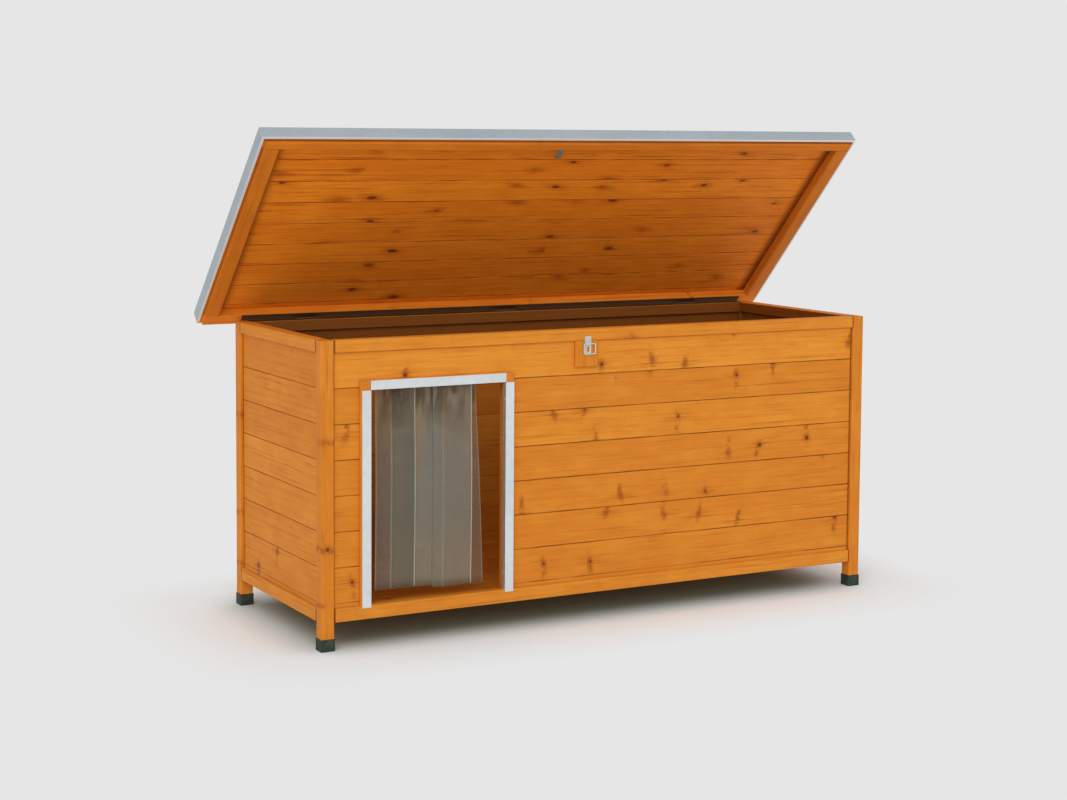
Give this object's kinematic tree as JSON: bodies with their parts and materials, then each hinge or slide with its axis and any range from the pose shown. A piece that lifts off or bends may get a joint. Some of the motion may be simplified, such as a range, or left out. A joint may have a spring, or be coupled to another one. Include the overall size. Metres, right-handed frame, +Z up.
{
  "type": "dog house",
  "caption": "Low wooden dog house on capped corner posts, with tongued board walls, an off-centre doorway behind a strip curtain and a full-width lift-up lid with metal edging.",
  "frame": {"origin": "On the ground, in the middle of the rectangle that the house covers with its lid in the rest pose.", "axes": "+X runs along the front from the doorway end to the other end (left to right as seen from the front), +Y runs from the front to the back, +Z is up."},
  "size_m": [1.644, 0.5898, 1.1705],
  "materials": {
    "stained_spruce": "honey-orange stained softwood, satin",
    "foot_plastic": "moulded dark plastic",
    "guard_aluminium": "mill finish angle",
    "curtain_plastic": "soft clear plastic strip, slightly clouded",
    "clamp_steel": "plain flat bar",
    "galvanised_sheet": "galvanised folded sheet",
    "roof_felt": "mineral-faced roofing felt",
    "zinc_steel": "zinc plated steel"
  },
  "bodies": {
    "house": {"back_boards": "stained_spruce", "back_rail_bottom": "stained_spruce", "back_rail_top": "stained_spruce", "bite_guard_left": "guard_aluminium", "bite_guard_right": "guard_aluminium", "bite_guard_top": "guard_aluminium", "curtain_clamp": "clamp_steel", "curtain_top_ends": "curtain_plastic", "door_header": "stained_spruce", "door_jamb_left": "stained_spruce", "door_jamb_right": "stained_spruce", "floor_bearers": "stained_spruce", "floor_boards": "stained_spruce", "foot_back_left": "foot_plastic", "foot_back_right": "foot_plastic", "foot_front_left": "foot_plastic", "foot_front_right": "foot_plastic", "front_board_over_door": "stained_spruce", "front_boards_left": "stained_spruce", "front_boards_right": "stained_spruce", "front_rail_bottom": "stained_spruce", "front_rail_top": "stained_spruce", "hinge_leaves_box": "zinc_steel", "hinge_pins": "zinc_steel", "latch_block": "stained_spruce", "latch_plate": "zinc_steel", "left_boards": "stained_spruce", "left_rail_bottom": "stained_spruce", "left_rail_top": "stained_spruce", "post_back_left": "stained_spruce", "post_back_right": "stained_spruce", "post_front_left": "stained_spruce", "post_front_right": "stained_spruce", "right_boards": "stained_spruce", "right_rail_bottom": "stained_spruce", "right_rail_top": "stained_spruce"},
    "lid": {"hinge_leaves_lid": "zinc_steel", "latch_keeper": "zinc_steel", "lid_boards": "stained_spruce", "lid_felt": "roof_felt", "lid_flange_front": "galvanised_sheet", "lid_flange_left": "galvanised_sheet", "lid_flange_right": "galvanised_sheet", "lid_rail_front": "stained_spruce", "lid_rail_left": "stained_spruce", "lid_rail_rear": "stained_spruce", "lid_rail_right": "stained_spruce"},
    "strip_1": {"curtain_strip_1": "curtain_plastic"},
    "strip_2": {"curtain_strip_2": "curtain_plastic"},
    "strip_3": {"curtain_strip_3": "curtain_plastic"},
    "strip_4": {"curtain_strip_4": "curtain_plastic"},
    "strip_5": {"curtain_strip_5": "curtain_plastic"},
    "bail": {"latch_bail": "zinc_steel"}
  },
  "joints": [
    {"name": "lid_hinge", "type": "hinge", "parent": "house", "child": "lid", "pos_m": [0, 0.25596, 0.6975], "axis": [-1, 0, 0], "range_deg": [-47.9, 40]},
    {"name": "curtain_swing_1", "type": "hinge", "parent": "house", "child": "strip_1", "pos_m": [-0.536, -0.25364, 0.584], "axis": [1, 0, 0], "range_deg": [-60, 75]},
    {"name": "curtain_swing_2", "type": "hinge", "parent": "house", "child": "strip_2", "pos_m": [-0.497, -0.25364, 0.584], "axis": [1, 0, 0], "range_deg": [-60, 75]},
    {"name": "curtain_swing_3", "type": "hinge", "parent": "house", "child": "strip_3", "pos_m": [-0.464, -0.25364, 0.584], "axis": [1, 0, 0], "range_deg": [-60, 75]},
    {"name": "curtain_swing_4", "type": "hinge", "parent": "house", "child": "strip_4", "pos_m": [-0.391, -0.25364, 0.584], "axis": [1, 0, 0], "range_deg": [-60, 75]},
    {"name": "curtain_swing_5", "type": "hinge", "parent": "house", "child": "strip_5", "pos_m": [-0.364, -0.25364, 0.584], "axis": [1, 0, 0], "range_deg": [-60, 75]},
    {"name": "latch_swing", "type": "hinge", "parent": "house", "child": "bail", "pos_m": [-0.0455, -0.29189, 0.6645], "axis": [-1, 0, 0], "range_deg": [0, 150]}
  ],
  "couplings": [
    {"joint": "curtain_swing_2", "follows": "curtain_swing_1", "ratio": 1},
    {"joint": "curtain_swing_3", "follows": "curtain_swing_1", "ratio": 1},
    {"joint": "curtain_swing_4", "follows": "curtain_swing_1", "ratio": 1},
    {"joint": "curtain_swing_5", "follows": "curtain_swing_1", "ratio": 1}
  ]
}
